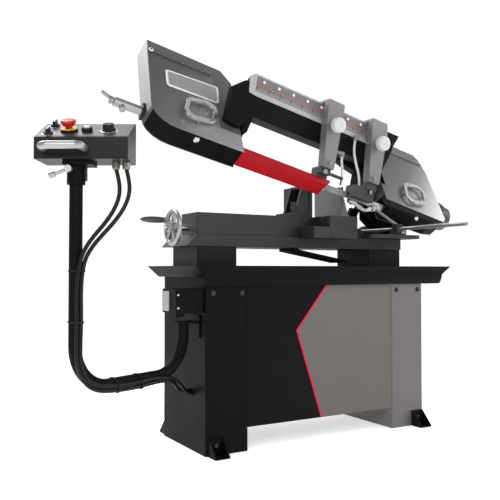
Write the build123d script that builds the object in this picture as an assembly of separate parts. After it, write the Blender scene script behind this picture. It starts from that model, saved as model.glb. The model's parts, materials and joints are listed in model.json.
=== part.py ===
from build123d import *
import math
import os

os.makedirs("parts", exist_ok=True)

# ---------------------------------------------------------------------------
# Horizontal metal-cutting band saw on a sheet-metal stand, millimetres.
# Lengths below are laid out from the stand's front left foot; SHIFT then moves
# everything so the origin is the centre of the four anchor bolts on the floor.
# +X runs along the stand towards the drive end, +Y to the rear, +Z up.
# ---------------------------------------------------------------------------
STAND_L, STAND_W, STAND_H = 828.0, 298.0, 502.8
LEG_W = 138.0
SHEET = 2.5
PANEL_Z0 = 67.5
TRAY_Z0, TRAY_Z1 = 503.0, 536.6
RISER_H0, RISER_H1 = 506.0, 594.0
BED_Z0, BED_STEP, BED_TOP = 594.0, 629.0, 693.0
VISE_Y, VISE_Z = 113.0, 649.0
SCREW_R = 9.0
HANDWHEEL_R = 55.0
JAW_TOP = 798.0
FIXED_JAW_X = 528.0
MOVING_JAW_X = 411.0

PIVOT_X, PIVOT_Z = 782.0, 665.0      # head hinge, along Y
TILT = 13.2                          # head raised above the cutting position
WHEEL_TILT = 36.0                    # band wheels lean back by this angle
BLADE_Y = 6.0                        # plane of the cut
BLADE_W, BLADE_T = 20.0, 1.0
BLADE_E = 35.0                       # centre of the blade above the hinge axis, head level
WHEEL_R = 135.0
WHEEL_W = 24.0
IDLER_S = -846.5                     # idler wheel, along the head from the hinge
PIPE_R = 16.0
CABLE_D = 8.0

SHIFT = Pos(-STAND_L / 2, -STAND_W / 2, 0)
HEAD = SHIFT * Pos(PIVOT_X, 0, PIVOT_Z) * Rot(0, TILT, 0)

_c, _s = math.cos(math.radians(WHEEL_TILT)), math.sin(math.radians(WHEEL_TILT))
WY = BLADE_Y + WHEEL_R * _s
WE = BLADE_E + WHEEL_R * _c
WHEEL_PLANE = Plane(origin=(0, WY, WE), x_dir=(1, 0, 0), z_dir=(0, -_c, _s))
# in this frame x runs along the head, y up the leaning wheel, z out towards the operator
WH = HEAD * WHEEL_PLANE.location


def solids_of(shape):
    out = []
    if isinstance(shape, (list, tuple)):
        for item in shape:
            out += solids_of(item)
        return out
    return list(shape.solids())


def save(name, *shapes):
    items = []
    for shape in shapes:
        items += solids_of(shape)
    if len(items) == 1:
        export_step(items[0], f"parts/{name}.step")
    else:
        export_step(Compound(children=items), f"parts/{name}.step")


def box(x0, x1, y0, y1, z0, z1):
    return Pos((x0 + x1) / 2, (y0 + y1) / 2, (z0 + z1) / 2) * Box(x1 - x0, y1 - y0, z1 - z0)


def cyl_x(x0, x1, y, z, r):
    return Pos((x0 + x1) / 2, y, z) * Rot(0, 90, 0) * Cylinder(r, x1 - x0)


def cyl_y(y0, y1, x, z, r):
    return Pos(x, (y0 + y1) / 2, z) * Rot(90, 0, 0) * Cylinder(r, y1 - y0)


def cyl_z(z0, z1, x, y, r):
    return Pos(x, y, (z0 + z1) / 2) * Cylinder(r, z1 - z0)


def prism_y(pts, y0, y1):
    """outline in X and Z, extruded along Y"""
    face = Face(Wire.make_polygon([(p[0], y0, p[1]) for p in pts], close=True))
    return extrude(face, amount=y1 - y0, dir=(0, 1, 0))


def prism_x(pts, x0, x1):
    """outline in Y and Z, extruded along X"""
    face = Face(Wire.make_polygon([(x0, p[0], p[1]) for p in pts], close=True))
    return extrude(face, amount=x1 - x0, dir=(1, 0, 0))


def prism_z(pts, z0, z1):
    face = Face(Wire.make_polygon([(p[0], p[1], z0) for p in pts], close=True))
    return extrude(face, amount=z1 - z0, dir=(0, 0, 1))


def rbox(x0, x1, y0, y1, z0, z1, r, axis=Axis.Z):
    b = box(x0, x1, y0, y1, z0, z1)
    return fillet(b.edges().filter_by(axis), r)


def hex_head(d, h):
    return extrude(RegularPolygon(d / 2, 6), amount=h)


# ------------------------------------------------------------------- stand
def leg(x0):
    outer = rbox(x0, x0 + LEG_W, 0, STAND_W, 0, STAND_H, 6)
    inner = box(x0 + SHEET, x0 + LEG_W - SHEET, SHEET, STAND_W - SHEET, -1, STAND_H - SHEET)
    return outer - inner


ENTRY_A, ENTRY_B = (99.8, 172.3), (81.8, 165.8)    # cable entries in the left leg
left_leg = leg(0)
for ey, ez in (ENTRY_A, ENTRY_B):
    left_leg -= cyl_x(-5, 8, ey, ez, 7.5)
right_leg = leg(STAND_L - LEG_W)
save("left_leg", SHIFT * left_leg)
save("right_leg", SHIFT * right_leg)

front_panel = box(LEG_W + 0.3, STAND_L - LEG_W - 0.3, 3, 3 + SHEET, PANEL_Z0, STAND_H)
front_panel += box(LEG_W + 0.3, STAND_L - LEG_W - 0.3, 3, 30, PANEL_Z0, PANEL_Z0 + SHEET)
rear_panel = box(LEG_W + 0.3, STAND_L - LEG_W - 0.3, STAND_W - 3 - SHEET, STAND_W - 3, PANEL_Z0, STAND_H)
rear_panel += box(LEG_W + 0.3, STAND_L - LEG_W - 0.3, STAND_W - 30, STAND_W - 3, PANEL_Z0, PANEL_Z0 + SHEET)
save("centre_panels", SHIFT * front_panel, SHIFT * rear_panel)

# anchor brackets: folded U with sloping sides and one bolt hole in the foot
ANCHOR_PX, ANCHOR_PY = 768.0, 350.0
ANCHOR_X0 = STAND_L / 2 - ANCHOR_PX / 2
ANCHOR_Y0 = STAND_W / 2 - ANCHOR_PY / 2


def anchor(x, front):
    w, d, h, t = 46.0, 46.0, 50.0, 4.0
    foot = box(x - w / 2, x + w / 2, -d, 0, 0, t)
    back = box(x - w / 2, x + w / 2, -t, 0, 0, h)
    cheek = prism_x([(-d, 0), (0, 0), (0, h), (-6, h), (-d, t + 2)], x - w / 2, x - w / 2 + t)
    cheek2 = Pos(w - t, 0, 0) * cheek
    b = foot + back + cheek + cheek2
    b -= cyl_z(-1, t + 1, x, ANCHOR_Y0, 6.5)
    if not front:
        b = Pos(0, STAND_W, 0) * mirror(b, Plane.XZ)
    return SHIFT * b


save("anchor_brackets", anchor(ANCHOR_X0, True), anchor(ANCHOR_X0 + ANCHOR_PX, True),
     anchor(ANCHOR_X0, False), anchor(ANCHOR_X0 + ANCHOR_PX, False))

BOLT_Z = 458.0
bolts = []
for x in (22.0, 116.0, STAND_L - 116.0, STAND_L - 22.0):
    bolts.append(Pos(x, 0, BOLT_Z) * Rot(90, 0, 0) * (hex_head(13, 4.5) + Cylinder(7.8, 1.4, align=(Align.CENTER, Align.CENTER, Align.MIN))))
    bolts.append(Pos(x, STAND_W, BOLT_Z) * Rot(-90, 0, 0) * (hex_head(13, 4.5) + Cylinder(7.8, 1.4, align=(Align.CENTER, Align.CENTER, Align.MIN))))
for x in (ANCHOR_X0, ANCHOR_X0 + ANCHOR_PX):
    bolts.append(Pos(x, -4, 30) * Rot(90, 0, 0) * hex_head(13, 5))
    bolts.append(Pos(x, STAND_W + 4, 30) * Rot(-90, 0, 0) * hex_head(13, 5))
save("stand_bolts", *[SHIFT * b for b in bolts])

# chip tray: flared pan with a coved skirt along the front
def rect_at(x0, x1, y0, y1, z):
    return Face(Wire.make_polygon([(x0, y0, z), (x1, y0, z), (x1, y1, z), (x0, y1, z)], close=True))


TX0, TX1, TY0, TY1 = -44.7, 935.8, -29.5, 327.5
outer = Solid.make_loft([rect_at(-14, 905, -10, 308, TRAY_Z0).outer_wire(), rect_at(TX0, TX1, TY0, TY1, TRAY_Z1).outer_wire()], ruled=True)
inner = Solid.make_loft([rect_at(-11, 902, -7, 305, TRAY_Z0 + 3).outer_wire(), rect_at(TX0 + 3.2, TX1 - 3.2, TY0 + 3.2, TY1 - 3.2, TRAY_Z1 + 0.01).outer_wire()], ruled=True)
tray = outer - inner
skirt = prism_x([(-22, 524), (-17.5, 500), (-12.6, 488), (-6.2, 477.5), (-3.0, 477.5), (-9.0, 489), (-10, 503.5)], -14, 905)
chip_tray = tray + skirt
save("chip_tray", SHIFT * chip_tray)

# risers between tray and bed
def riser(x0, x1):
    r = rbox(x0, x1, 55, 232, RISER_H0, RISER_H1, 5)
    return r - box(x0 + 6, x1 - 6, 61, 226, RISER_H0 - 1, RISER_H1 - 6)


save("bed_risers", SHIFT * riser(0, 131), SHIFT * riser(641, 780))

# ------------------------------------------------------------------- bed
flange = prism_y([(-34, BED_Z0), (780, BED_Z0), (780, BED_STEP), (-2, BED_STEP)], 52, 240)
way = rbox(0, 562, 58, 168, BED_STEP - 1, BED_TOP, 4)
bed = flange + way
bed -= box(12, 520, 84, 142, BED_STEP - 20, BED_TOP - 14)
bed -= box(62, 505, 103, 123, BED_TOP - 20, BED_TOP + 1)
bed -= cyl_x(-40, 20, VISE_Y, VISE_Z, SCREW_R + 0.06)
bed += box(351, 412.5, -32, 60, BED_STEP - 12, 658)
tall = rbox(412, 523, -32, 60, BED_STEP - 12, BED_TOP, 5)
bed += tall
bed -= box(405, 530, -3, 15, 680, BED_TOP + 1)
bed -= box(300, 560, -40, 52, BED_Z0 - 10, BED_STEP - 6)
bed += rbox(588, 612, 46, 68, BED_STEP - 2, 662, 4)
bed -= cyl_y(40, 90, 600, 652, 5.97)
save("bed", SHIFT * bed)

chute = prism_y([(345, 592), (350, 592), (556, 556), (556, 548), (350, 584), (345, 584)], 70, 150)
chute += prism_y([(345, 592), (556, 556), (556, 548), (345, 584)], 66, 70) + prism_y([(345, 592), (556, 556), (556, 548), (345, 584)], 150, 154)
chute += prism_y([(345, 593.8), (362, 593.8), (362, 586), (345, 586)], 66, 154)
save("drain_chute", SHIFT * chute)

# fixed jaw: smooth face plate on a ribbed casting
jaw = box(FIXED_JAW_X, FIXED_JAW_X + 9, 60, 210, BED_TOP, JAW_TOP)
jaw += prism_y([(FIXED_JAW_X + 8, BED_TOP), (FIXED_JAW_X + 32, BED_TOP), (FIXED_JAW_X + 32, BED_TOP + 18), (FIXED_JAW_X + 8, JAW_TOP - 12)], 66, 80)
jaw += prism_y([(FIXED_JAW_X + 8, BED_TOP), (FIXED_JAW_X + 32, BED_TOP), (FIXED_JAW_X + 32, BED_TOP + 18), (FIXED_JAW_X + 8, JAW_TOP - 12)], 128, 142)
jaw += prism_y([(FIXED_JAW_X + 8, BED_TOP), (FIXED_JAW_X + 32, BED_TOP), (FIXED_JAW_X + 32, BED_TOP + 18), (FIXED_JAW_X + 8, JAW_TOP - 12)], 190, 204)
jaw += box(FIXED_JAW_X + 5, FIXED_JAW_X + 32, 60, 168, BED_TOP, BED_TOP + 14)
save("fixed_jaw", SHIFT * jaw)

# moving jaw: face plate, twin ribs, slide foot, and the nut that hangs through the slot
mx = MOVING_JAW_X
mj = box(mx - 10, mx, 60, 212, BED_TOP + 0.4, JAW_TOP)
rib = [(mx - 9, BED_TOP + 0.4), (mx - 62, BED_TOP + 0.4), (mx - 62, BED_TOP + 14), (mx - 34, JAW_TOP - 4), (mx - 9, JAW_TOP - 4)]
mj += prism_y(rib, 64, 74) + prism_y(rib, 128, 138)
mj += box(mx - 72, mx - 4, 62, 166, BED_TOP + 0.4, BED_TOP + 14)
mj += prism_y([(mx - 34, JAW_TOP - 4), (mx - 9, JAW_TOP - 4), (mx - 9, JAW_TOP - 12), (mx - 32, JAW_TOP - 12)], 64, 138)
mj += box(mx - 66, mx - 20, 104, 122, 678, BED_TOP + 5)
nut = box(mx - 66, mx - 20, 92, 134, 632, 678.5) - cyl_x(mx - 80, mx, VISE_Y, VISE_Z, SCREW_R + 0.06)
mj += nut
mj += cyl_z(BED_TOP + 10, BED_TOP + 20, mx - 66, 70, 6) + cyl_z(BED_TOP + 19, BED_TOP + 46, mx - 66, 70, 8.5)
save("moving_jaw", SHIFT * mj)

# vise screw, dished handwheel with five spokes, and its turning grip
screw = cyl_x(-78, 480, VISE_Y, VISE_Z, SCREW_R)
screw += cyl_x(-38, -35, VISE_Y, VISE_Z, 16)
save("vise_screw", SHIFT * screw)


def handwheel():
    r = HANDWHEEL_R
    rim = Pos(-52, VISE_Y, VISE_Z) * Rot(0, 90, 0) * Torus(r - 7, 7)
    hub = cyl_x(-66, -39, VISE_Y, VISE_Z, 16)
    w = hub
    for i in range(5):
        a = math.radians(30 + 72 * i)
        mid = (14 + r - 9) / 2
        spoke = Pos(-52, VISE_Y, VISE_Z) * Rot(math.degrees(a), 0, 0) * Pos(0, mid, 0) * Box(9, r - 20, 13)
        w += spoke
    w += rim
    w -= cyl_x(-80, -30, VISE_Y, VISE_Z, SCREW_R + 0.02)
    return w


GRIP_Y, GRIP_Z = VISE_Y + 41.0, VISE_Z + 24.0
wheel = handwheel() + cyl_x(-66, -50, GRIP_Y, GRIP_Z, 9) - cyl_x(-80, -40, GRIP_Y, GRIP_Z, 4.06)
save("vise_handwheel", SHIFT * wheel)
grip = revolve(Plane.XZ * make_face(Polyline((0, 0), (8, 0), (9.5, 14), (9.5, 40), (6.5, 62), (3, 70), (0, 70), close=True)), Axis.Z)
grip = Pos(-66.5, GRIP_Y, GRIP_Z) * Rot(0, -90, 0) * grip + cyl_x(-70, -48, GRIP_Y, GRIP_Z, 4.0)
save("handwheel_grip", SHIFT * grip)

# work stop: fixed rod, sliding clamp with a raked post, and a swinging finger
rod = cyl_y(-404, 68, 600, 652, 5.95)
save("work_stop_rod", SHIFT * rod)
CLAMP_Y = -128.0
clamp = rbox(588, 612, CLAMP_Y - 11, CLAMP_Y + 11, 641, 666, 4, Axis.Y) - cyl_y(CLAMP_Y - 20, CLAMP_Y + 20, 600, 652, 6.0)
HUB = Vector(573, -47, 722)
foot_pt = Vector(599, CLAMP_Y, 662)
d = (HUB - foot_pt)
post = Plane(origin=foot_pt, z_dir=d).location * Cylinder(4.5, d.length, align=(Align.CENTER, Align.CENTER, Align.MIN))
clamp += post + cyl_y(-54, -40.5, HUB.X, HUB.Z, 10)
clamp += cyl_x(611, 622, CLAMP_Y, 653, 5)
clamp -= cyl_y(-60, -30, HUB.X, HUB.Z, 4.06)
save("work_stop_clamp", SHIFT * clamp)
finger = prism_y([(HUB.X - 2, HUB.Z - 8), (553, 710), (536, 711), (518, 719), (500, 731), (483, 736), (481, 743), (501, 741), (524, 729), (540, 720), (553, 719), (HUB.X - 2, HUB.Z + 8)], -40.2, -34)
finger += cyl_y(-40.2, -32, HUB.X, HUB.Z, 11) + cyl_y(-52, -39, HUB.X, HUB.Z, 4.0)
save("work_stop_finger", SHIFT * finger)

# ------------------------------------------------------------ turntable, pivot
tt = prism_z([(585, -30), (800, -30), (800, 262), (630, 262), (630, 150), (585, 90)], BED_STEP, 641)
tt = fillet(tt.edges().filter_by(Axis.Z), 20)
tt = tt - box(580, 616, 30, 95, BED_STEP - 1, 642)
BARREL_X, BARREL_Z, BARREL_Y = 652.2, 658.2, 202.0
for y in (178, 214):
    tt += prism_y([(BARREL_X - 16, 640.5), (BARREL_X + 16, 640.5), (BARREL_X + 9, 668), (BARREL_X - 9, 668)], y, y + 12)
tt -= cyl_y(170, 240, BARREL_X, BARREL_Z, 5.03)


def ear(y0, y1):
    e = prism_y([(PIVOT_X - 60, 641), (PIVOT_X + 18, 641), (PIVOT_X + 20, 652), (PIVOT_X + 20, PIVOT_Z), (PIVOT_X - 22, PIVOT_Z), (PIVOT_X - 46, 655)], y0, y1)
    e += cyl_y(y0, y1, PIVOT_X, PIVOT_Z, 22)
    return e - cyl_y(y0 - 1, y1 + 1, PIVOT_X, PIVOT_Z, 12.05)


bracket = ear(47, 62) + ear(238, 258) + (box(PIVOT_X - 60, PIVOT_X + 18, 47, 258, 641, 645) - cyl_y(61, 239, PIVOT_X, PIVOT_Z, 24.5))
save("swivel_base", SHIFT * (tt + bracket))
save("pivot_shaft", SHIFT * (cyl_y(42, 262, PIVOT_X, PIVOT_Z, 12.0) + cyl_y(41, 46.7, PIVOT_X, PIVOT_Z, 16) + cyl_y(258.3, 265, PIVOT_X, PIVOT_Z, 16)))

# ------------------------------------------------------------------- head
# head pieces are laid out level, x along the head from the hinge, z above the hinge
beam = prism_y([(-699, 160), (-168, 160), (-150, 205), (-139, 250), (-122, 290), (-699, 290)], 2, 50)
beam -= box(-690, -330, 16, 60, 176, 274)
foot = prism_y([(-729, 259), (-768, 226), (-768, 122), (-717, 116), (-690, 160), (-690, 259)], 2, 24)
side = prism_x([(2, 160), (2, 290), (50, 290), (146, 190), (146, 118), (92, 62), (70, 62), (46, 112), (24, 118)], -698, -680)
bow = beam + foot + side
web = prism_y([(-320, 290), (-320, 165), (-262, 150), (-212, 140), (-212, 44), (-60, -8), (-20, -20), (18, -12), (36, 6), (36, 48), (-143, 48), (-143, 290)], 72, 104)
web -= prism_y([(-195, 130), (-195, 30), (-160, 30), (-160, 130)], 60, 120)
bow += web + box(-320, -143, 49, 73, 165, 290)
bow += cyl_y(66, 234, 0, 0, 22)
PIN_S, PIN_E = -88.7, 95.1             # feed cylinder pin on the head
bow += prism_y([(-18, -12), (10, 19), (-62, 34), (PIN_S + 13, PIN_E + 6), (PIN_S - 10, PIN_E + 11), (PIN_S - 13, PIN_E - 8), (-84, 20)], 172, 182)
bow += cyl_y(181, 216, PIN_S, PIN_E, 5)
bow = HEAD * bow
arm_l = WH * (box(-900, -681, -58, 50, -50, -36.4))
arm_r = WH * (box(-143, 62, -95, 60, -52, -36.4))
bow = bow + arm_l + arm_r
bow -= HEAD * cyl_y(60, 240, 0, 0, 12.06)
bow -= WH * cyl_z(-60, 0, 0, 0, 12.06)
save("saw_bow", bow)

# graduated scale plate on the beam
scale_plate = prism_y([(-712, 228), (-719, 276), (-703, 290), (-208, 290), (-208, 224), (-686, 224)], 0.3, 2)
save("scale_plate", HEAD * scale_plate)


# band wheel housings and doors, in the wheel frame (y = -b)
def outline_left():
    return [(-992, 213), (-736, 213), (-701, 166), (-701, -152), (-912, -152), (-938, -148.5), (-961, -138.5), (-979, -122), (-989, -102), (-992, -80)]


def outline_right():
    return [(-137, 88), (-137, -152), (70, -152), (118, -140), (143, -110), (143, 125), (128, 184), (110, 203), (9, 203)]


def inset(pts, k):
    """outline moved inwards by k, by offsetting the face"""
    f = make_face(Polyline(*pts, close=True))
    return offset(f, -k, kind=Kind.INTERSECTION)


def housing(pts, cuts):
    f = make_face(Polyline(*pts, close=True))
    body = Pos(0, 0, -36) * extrude(f, amount=64.4)
    cavity = Pos(0, 0, -33.4) * extrude(inset(pts, 2.0), amount=70)
    body -= cavity
    for cut in cuts:
        body -= cut
    return body


HINGE_L, HINGE_R = 170.0, 160.0      # door hinge lines, up the wheel
left_cuts = [
    box(-705, -695, -146, -95, -30, 40),                 # blade and guard come out here
    box(-705, -695, -160, -95, -31, 40),
    cyl_x(-1000, -980, -70, -20, 15),                    # tension screw
    cyl_z(-40, -30, IDLER_S, 0, 0.1),
    box(-760, -700, -40, 140, 12, 40),                   # clears the bow's foot
    box(-745, -695, 115, 155, -12, 12),                  # return run
]
left_housing = housing(outline_left(), left_cuts[:3] + left_cuts[4:5] + [box(-705, -695, 118, 152, -14, 14)])
right_cuts = [
    box(-141, -130, -160, -95, -24, 40),
    box(-141, -131, 60, 152, -14, 14),
    box(-100, -20, 118, 190, -14, 14) & box(-141, -40, 118, 190, -14, 14),
    cyl_z(-40, -30, 0, 0, 16),
]
right_housing = housing(outline_right(), [right_cuts[0], box(-141, -60, 80, 150, -14, 14), right_cuts[3]])


def split_lower(h):
    """the black wrap-round guard is the bottom of the housing"""
    low = h & box(-1100, 300, -200, -106, -33.4, 60)
    top = h - box(-1100, 300, -200, -106, -33.4, 60)
    return top, low


left_top, left_low = split_lower(left_housing)
right_top, right_low = split_lower(right_housing)
# the drive end's guard has its own front plate under the cover
front_lip = Pos(0, 0, 28.4) * extrude(make_face(Polyline((-130, -152), (70, -152), (118, -140), (125.4, -131.1), (-130, -120), close=True)), amount=2.0)
right_low = right_low + front_lip
save("lower_blade_guards", WH * left_low, WH * right_low)


GRIP_LOOP = [(-883, -18), (-781, 4), (-796, -91), (-909, -119)]     # pull handle corners, left cover
GRIP_BAR = 12.0


def pull_handle(dx, dy):
    """closed flat-bar pull handle standing off the cover on four posts"""
    pts = [(x + dx, y + dy) for x, y in GRIP_LOOP]
    face = make_face(Polyline(*pts, close=True))
    outer = extrude(face, amount=8)
    outer = fillet(outer.edges().filter_by(Axis.Z), 30)
    hole = extrude(inset(pts, GRIP_BAR), amount=12)
    hole = Pos(0, 0, -2) * fillet(hole.edges().filter_by(Axis.Z), 21)
    ring = Pos(0, 0, 41) * (outer - hole)
    cx, cy = sum(p[0] for p in pts) / 4, sum(p[1] for p in pts) / 4
    for p, q in zip(pts, pts[1:] + pts[:1]):
        mx_, my_ = (p[0] + q[0]) / 2, (p[1] + q[1]) / 2
        k = 1 - 4.5 / math.hypot(mx_ - cx, my_ - cy)
        ring += Pos(cx + (mx_ - cx) * k, cy + (my_ - cy) * k, 30) * Cylinder(3.6, 13, align=(Align.CENTER, Align.CENTER, Align.MIN))
    return ring


def door(pts, hinge, notch, handle_at, barrel):
    f = make_face(Polyline(*pts, close=True))
    d = Pos(0, 0, 28.6) * extrude(f, amount=1.8)
    d -= box(-1100, 300, hinge + 0.6, 260, 0, 60)
    for n in notch:
        d -= n
    d += cyl_x(barrel[0], barrel[1], hinge, 32.6, 3.0)
    return d + pull_handle(*handle_at)


def pts_min(pts):
    return min(p[0] for p in pts)


left_door = door(outline_left(), HINGE_L, [box(-772, -690, -80, 260, 0, 60)], (0, 0), (-984, -776))
DOOR_R = [(-137, 88), (-137, -119), (126, -130.4), (143, -110), (143, 125), (128, 184), (110, 203), (9, 203)]
right_door = door(DOOR_R, HINGE_R, [box(-141, -116, -45, 110, 0, 60)], (845, -1), (-36, 122))
left_strip = Pos(0, 0, 28.4) * extrude(make_face(Polyline(*outline_left(), close=True)), amount=2.0) & (box(-1100, 300, HINGE_L + 4, 260, 0, 60) + box(-771.4, 300, -79.4, 260, 0, 60))
right_strip = Pos(0, 0, 28.4) * extrude(make_face(Polyline(*outline_right(), close=True)), amount=2.0) & box(-1100, 300, HINGE_R + 4, 260, 0, 60)
save("left_cover", WH * left_door)
save("right_cover", WH * right_door)
save("left_wheel_housing", WH * (left_top + left_strip))
save("right_wheel_housing", WH * (right_top + right_strip))


# band wheels: rim, web with lightening holes, hub
def band_wheel(s):
    w = Cylinder(WHEEL_R, WHEEL_W) - Cylinder(WHEEL_R - 14, WHEEL_W + 2) + Cylinder(WHEEL_R - 13, 8) + Cylinder(26, WHEEL_W)
    w -= Cylinder(12.02, 60)
    for i in range(6):
        a = math.radians(60 * i + 15)
        w -= Pos(76 * math.cos(a), 76 * math.sin(a), 0) * Cylinder(24, 30)
    return Pos(s, 0, 0) * w


save("idler_wheel", WH * (band_wheel(IDLER_S) - Pos(IDLER_S, 0, 0) * Cylinder(12.06, 60)))
save("drive_wheel", WH * band_wheel(0))
drive_shaft = cyl_z(-66, 14, 0, 0, 12.0) + cyl_z(12.3, 18, 0, 0, 20)
save("drive_shaft", WH * drive_shaft)
carriage = rbox(IDLER_S - 44, IDLER_S + 44, -92, 40, -31, -16, 6)
carriage = carriage + cyl_z(-17, 14, IDLER_S, 0, 12.0) + cyl_z(12.4, 19, IDLER_S, 0, 18)
save("tension_carriage", WH * carriage)
TB = -70.0                             # tension screw line, down the wheel
tension_cyl = cyl_x(-1080, -992.4, TB, -20, 13.5) + rbox(-999, -992.4, TB - 20, TB + 20, -38, -2, 4, Axis.X)
tension_cyl += Pos(-1056, TB - 17, -20) * Rot(90, 0, 0) * Cylinder(9, 16)
tension_cyl -= cyl_x(-1090, -980, TB, -20, 8.06)
save("tension_cylinder", WH * tension_cyl)
tscrew = cyl_x(-1080, IDLER_S - 44.2, TB, -20, 8.0) + cyl_x(-1092, -1079.8, TB, -20, 8.0)
tscrew += cyl_x(-1092, -1086, TB, -20, 11)
tscrew += Plane(origin=(-1089, TB + 8, -20), z_dir=(-0.88, 0.47, 0)).location * Cylinder(5, 30, align=(Align.CENTER, Align.CENTER, Align.MIN))
save("tension_screw", WH * tscrew)

gear = box(-60, 60, -38, 100, -124, -52.3)
gear = fillet(gear.edges().filter_by(Axis.Z), 12) - cyl_z(-70, -50, 0, 0, 12.06)
gear += cyl_x(58, 72, 60, -96, 40)
gear = WH * gear - HEAD * box(-80, 60, 60, 105.6, -60, 60)
save("gearbox", gear)
motor = cyl_x(72.4, 300, 60, -96, 50) + cyl_x(300, 324, 60, -96, 46)
for i in range(24):
    motor += Pos(0, 60, -96) * Rot(15 * i, 0, 0) * box(90, 285, -1.6, 1.6, 48, 55)
motor += box(130, 220, 106, 134, -130, -66)
save("motor", WH * motor)

# ---- blade: one closed band, round both wheels, twisted upright through the guides
def blade_solid():
    rb = WHEEL_R + 0.3 + BLADE_T / 2
    st = []

    def station(centre, width_dir, thick_dir):
        c = Vector(*centre)
        w = Vector(*width_dir).normalized() * (BLADE_W / 2)
        t = Vector(*thick_dir).normalized() * (BLADE_T / 2)
        st.append([c - w - t, c + w - t, c + w + t, c - w + t])

    n = (0, -_c, _s)
    up = (0, _s, _c)                      # up the wheel

    def onwheel(s0, ang):
        # ang measured from straight down the wheel, turning towards -x
        dx, dy = -math.sin(ang), -math.cos(ang)
        radial = Vector(dx, up[1] * dy, up[2] * dy)
        cen = Vector(s0, WY, WE) + radial * rb
        return cen, radial

    # lower run, drive end to idler end
    y_low = WY - _s * rb
    e_low = WE - _c * rb
    twist = 90 - WHEEL_TILT

    def low(s, k):
        a = math.radians(WHEEL_TILT + 90 - 90) if False else 0
        ang = math.radians(k * twist)
        wd = Vector(0, -math.cos(math.radians(WHEEL_TILT) + ang), math.sin(math.radians(WHEEL_TILT) + ang))
        td = Vector(0, wd.Z, -wd.Y) * -1
        station((s, y_low + (BLADE_Y - y_low) * k, e_low + (BLADE_E - e_low) * k), wd, td)

    for i in range(11):
        k = i / 10
        low(-8 - 197 * k, k)
    for s in (-300, -400, -500):
        low(s, 1)
    for i in range(11):
        k = i / 10
        low(-600 - 238.5 * k, 1 - k)
    for i in range(0, 25):
        ang = math.pi * i / 24
        cen, rad = onwheel(IDLER_S, ang)
        station(cen, n, rad)
    for i in range(0, 25):
        ang = math.pi + math.pi * i / 24
        cen, rad = onwheel(0, ang)
        station(cen, n, rad)
    faces = []
    m = len(st)
    for i in range(m):
        a, b = st[i], st[(i + 1) % m]
        for j in range(4):
            k = (j + 1) % 4
            p, q, r_, s_ = a[j], a[k], b[k], b[j]
            faces.append(Face(Wire.make_polygon([p, q, r_], close=True)))
            faces.append(Face(Wire.make_polygon([p, r_, s_], close=True)))
    sh = Shell(faces)
    return Solid(sh)


blade = HEAD * blade_solid()
save("blade", blade)

# ---- guard: angle section that rides on the left arm and slides into the housing
gl, gr = -705.0, -372.0
front = extrude(make_face(Polyline((gl, -149.5), (gr - 16, -149.5), (gr, -128), (gl, -122), close=True)), amount=1.6)
guard = Pos(0, 0, 22) * front + box(gl, gr - 19, -149.5, -147.9, -27, 23.6)
guard = WH * guard + HEAD * box(-424, -398, -19, -7.2, 40.5, 46)
save("blade_guard", guard)

# ---- guide arms, knobs and guide blocks
def guide_arm(pts):
    a = prism_y(pts, -32, -0.3)
    return a


LA = [(-450, 292), (-388, 295), (-384, 262), (-384, 86), (-424, 86), (-430, 135)]
RA = [(-268, 292), (-206, 295), (-199, 262), (-197, 92), (-240, 92), (-247, 135)]
larm = prism_y(LA, -32, -0.3) + prism_y([(-450, 291), (-388, 291), (-388, 298), (-450, 298)], -32, 30) - box(-460, -380, -10, 40, 280, 290.6)
rarm = prism_y(RA, -32, -0.3) + prism_y([(-268, 291), (-206, 291), (-206, 298), (-268, 298)], -32, 30) - box(-280, -190, -10, 40, 280, 290.6)
larm -= cyl_y(-40, -10, -416, 216, 5.06)
rarm -= cyl_y(-40, -10, -232, 218, 5.06)
larm += cyl_x(-388, -346, -16, 150, 5) + cyl_z(139, 156, -352, -16, 6.5)
rarm += cyl_x(-307, -248, -16, 218, 5) + cyl_z(206, 225, -313, -16, 6.5)
save("left_guide_arm", HEAD * larm)
save("right_guide_arm", HEAD * rarm)


def arm_knob(s, e):
    k = cyl_y(-68, -46, s, e, 23) + cyl_y(-47, -38, s, e, 15) + cyl_y(-39, -14, s, e, 5.0)
    return k


save("left_arm_knob", HEAD * fillet(arm_knob(-416, 216).edges().filter_by(GeomType.CIRCLE).group_by(Axis.Y)[0], 2.5))
save("right_arm_knob", HEAD * fillet(arm_knob(-232, 218).edges().filter_by(GeomType.CIRCLE).group_by(Axis.Y)[0], 2.5))


def guide_block(s0, s1, bottom, top):
    b = box(s0, s1, -22, 24, bottom, top)
    b -= box(s0 - 1, s1 + 1, BLADE_Y - 4.5, BLADE_Y + 4.5, bottom - 1, 47)
    b += box(s0 + 6, s1 - 6, BLADE_Y - 4.6, BLADE_Y - 0.9, bottom, 46)
    b += box(s0 + 6, s1 - 6, BLADE_Y + 0.9, BLADE_Y + 4.6, bottom, 46)
    return b


lgb = guide_block(-428, -388, 31, 86) - box(-440, -380, -30, -7.2, 20, 66)
lgb += cyl_y(-26, -18, -408, 74, 8)
lgb += box(-390, -334, -19, -11, 69, 77) + cyl_z(69, 77, -337.4, -15, 5.5) + cyl_z(52, 70, -337.4, -15, 3)
rgb = guide_block(-285, -202, 31, 70) + box(-242, -200, -26, 0, 68, 91.7)
rgb += cyl_y(-29, -20, -222, 60, 6)
save("left_guide_block", HEAD * lgb)
save("right_guide_block", HEAD * rgb)


# ---- cords: straight runs joined by tangent arcs
def cord_radii(pts):
    v = [Vector(*p) for p in pts]
    out = []
    for i in range(1, len(v) - 1):
        a, b = v[i] - v[i - 1], v[i + 1] - v[i]
        turn = math.radians(a.get_angle(b))
        out.append(0.45 * min(a.length, b.length) / math.tan(turn / 2))
    return out


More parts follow.
